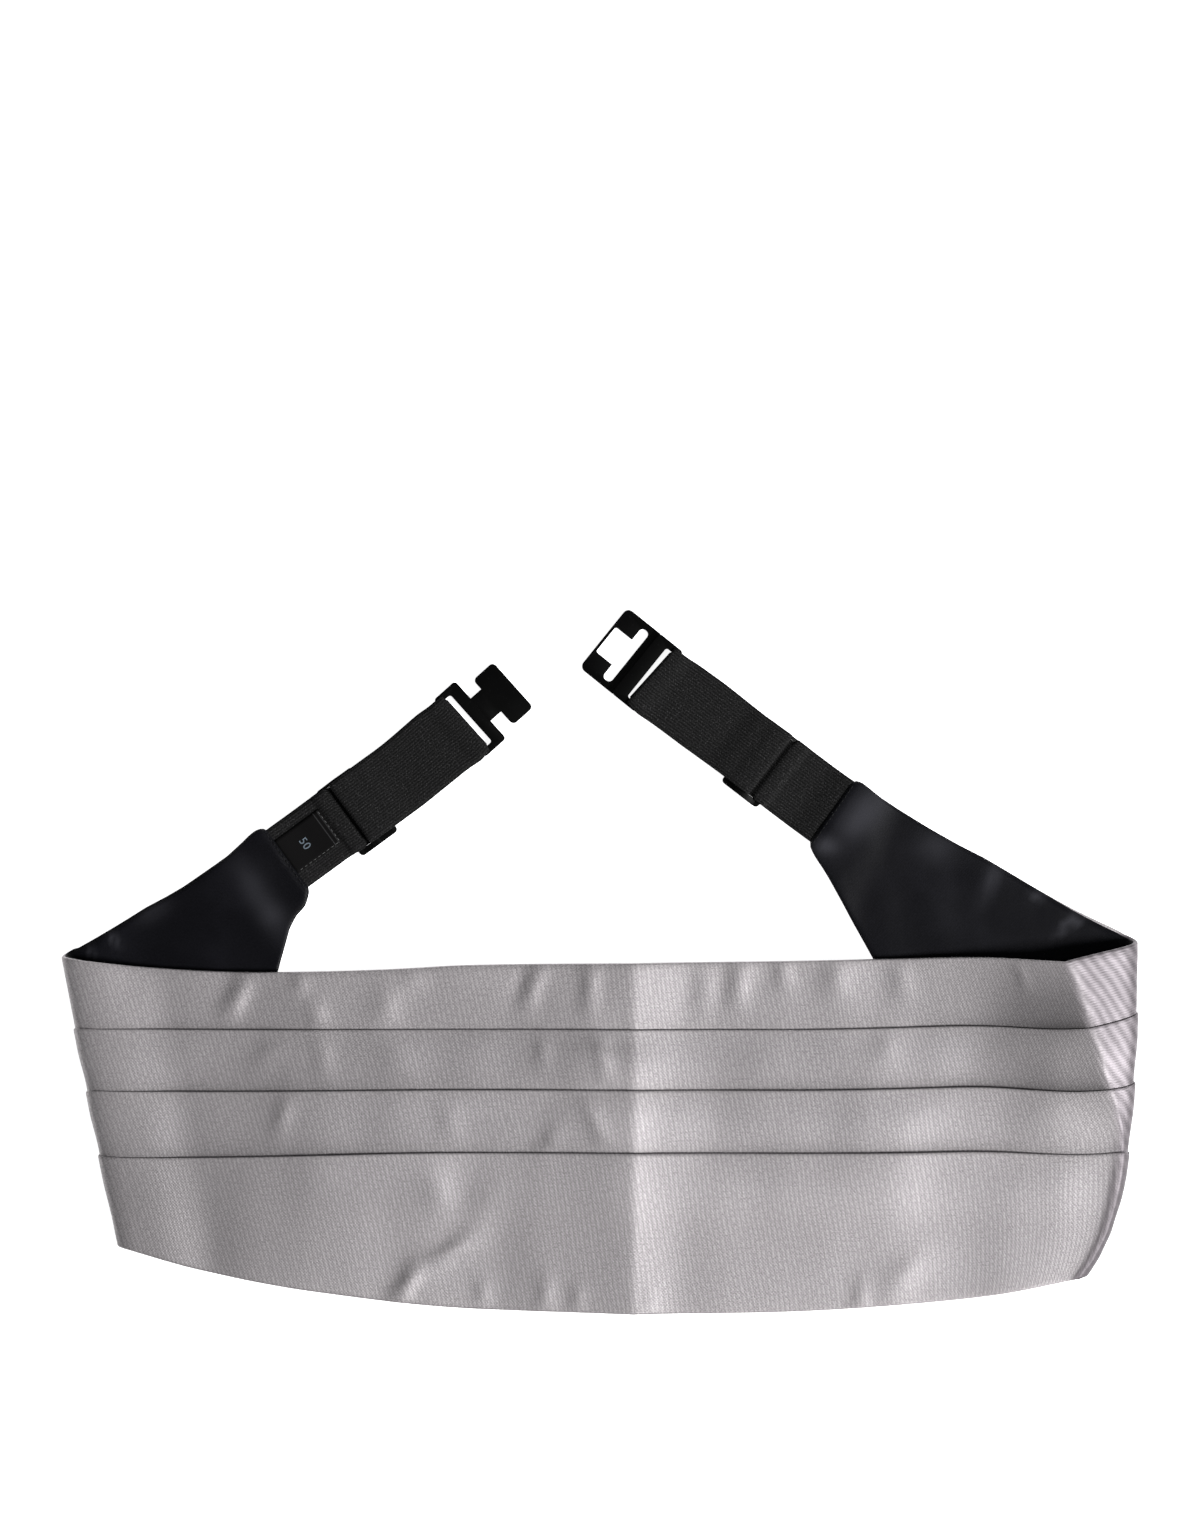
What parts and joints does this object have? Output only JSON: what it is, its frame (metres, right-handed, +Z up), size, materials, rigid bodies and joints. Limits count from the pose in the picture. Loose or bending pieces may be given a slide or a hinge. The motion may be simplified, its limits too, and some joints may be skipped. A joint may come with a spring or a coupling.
{
  "type": "cummerbund",
  "caption": "Pleated silk evening sash with a satin lining, elastic straps, slide adjusters and a hook-and-eye clasp, laid front up with its ends turned behind.",
  "frame": {"origin": "centre of the bounding box at its underside, on the surface that the part lies on", "axes": "+X along the front to the wearer's side shown right, +Y from the front's bottom edge to its top edge and the clasp, +Z up out of the front's face"},
  "size_m": [0.4324, 0.2814, 0.0181],
  "materials": {
    "shell_silk": "fine ribbed silk satin, soft sheen",
    "lining_satin": "smooth satin, blue-black, soft sheen",
    "elastic": "woven elastic, matt with fine speckle",
    "enamel": "black enamel, satin",
    "label_cloth": "flat woven label, matt"
  },
  "bodies": {
    "root": {"pleated_shell": "shell_silk", "lining": "lining_satin", "elastic_left": "elastic", "elastic_right": "elastic", "slider_left": "enamel", "slider_right": "enamel", "hook_plate": "enamel", "eye_plate": "enamel", "size_label": "label_cloth"}
  },
  "joints": []
}
